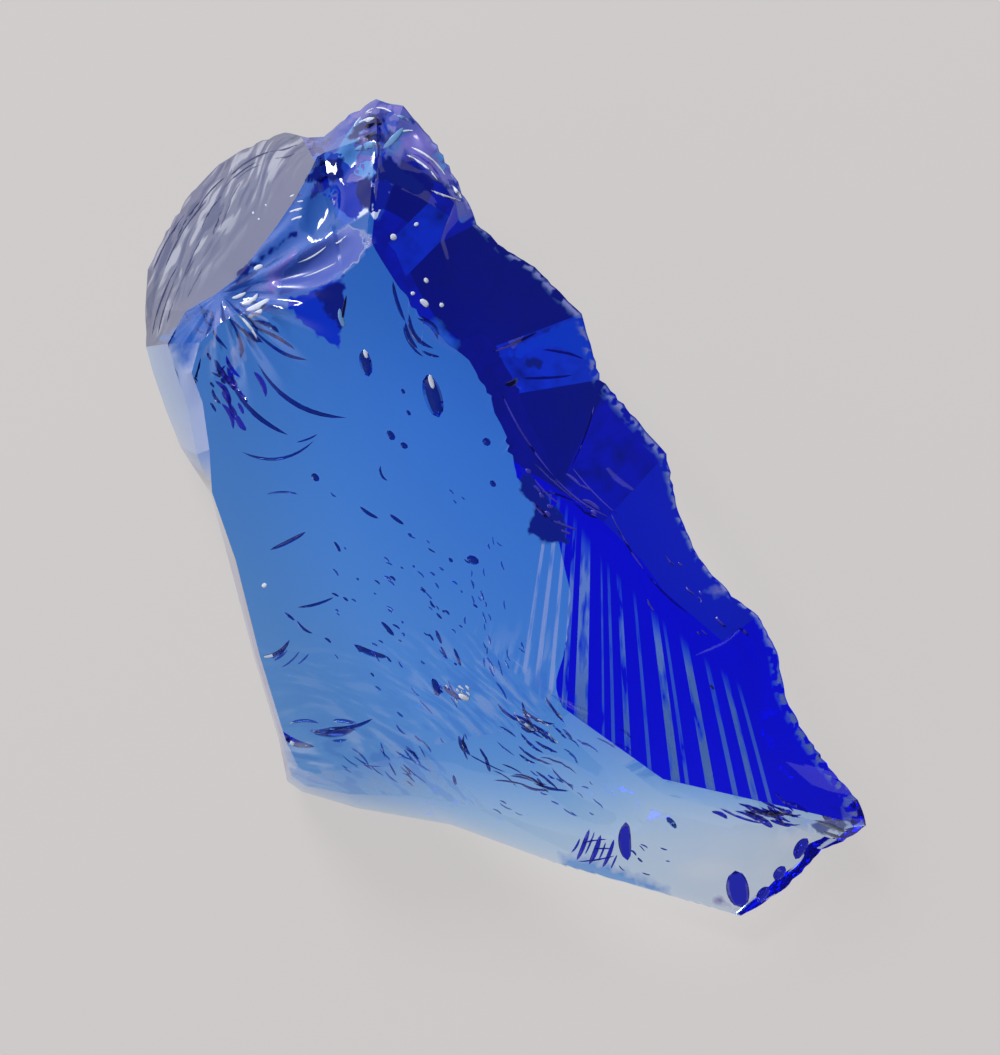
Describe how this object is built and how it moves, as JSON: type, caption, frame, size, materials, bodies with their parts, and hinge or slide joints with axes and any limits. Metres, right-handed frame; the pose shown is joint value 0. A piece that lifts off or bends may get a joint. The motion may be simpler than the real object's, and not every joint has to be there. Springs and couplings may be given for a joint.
{
  "type": "raw glass chunk",
  "caption": "Raw broken chunk of clear cobalt-blue glass, pale at the thin foot and deep along the thick flank, with conchoidal facets, ripples and a flat back to rest on",
  "frame": {"origin": "centre of the bounding box, on the surface that the chunk rests on", "axes": "+Y along the chunk's length, from the thin foot up to the knob; +Z out of the front table, away from the flat back; +X towards the deep blue flank"},
  "size_m": [0.0346, 0.039, 0.0118],
  "materials": {
    "cobalt_glass": "clear cobalt-blue glass, polished on its fresh faces and frosted where it shattered"
  },
  "bodies": {
    "root": {"glass_chunk": "cobalt_glass"}
  },
  "joints": []
}
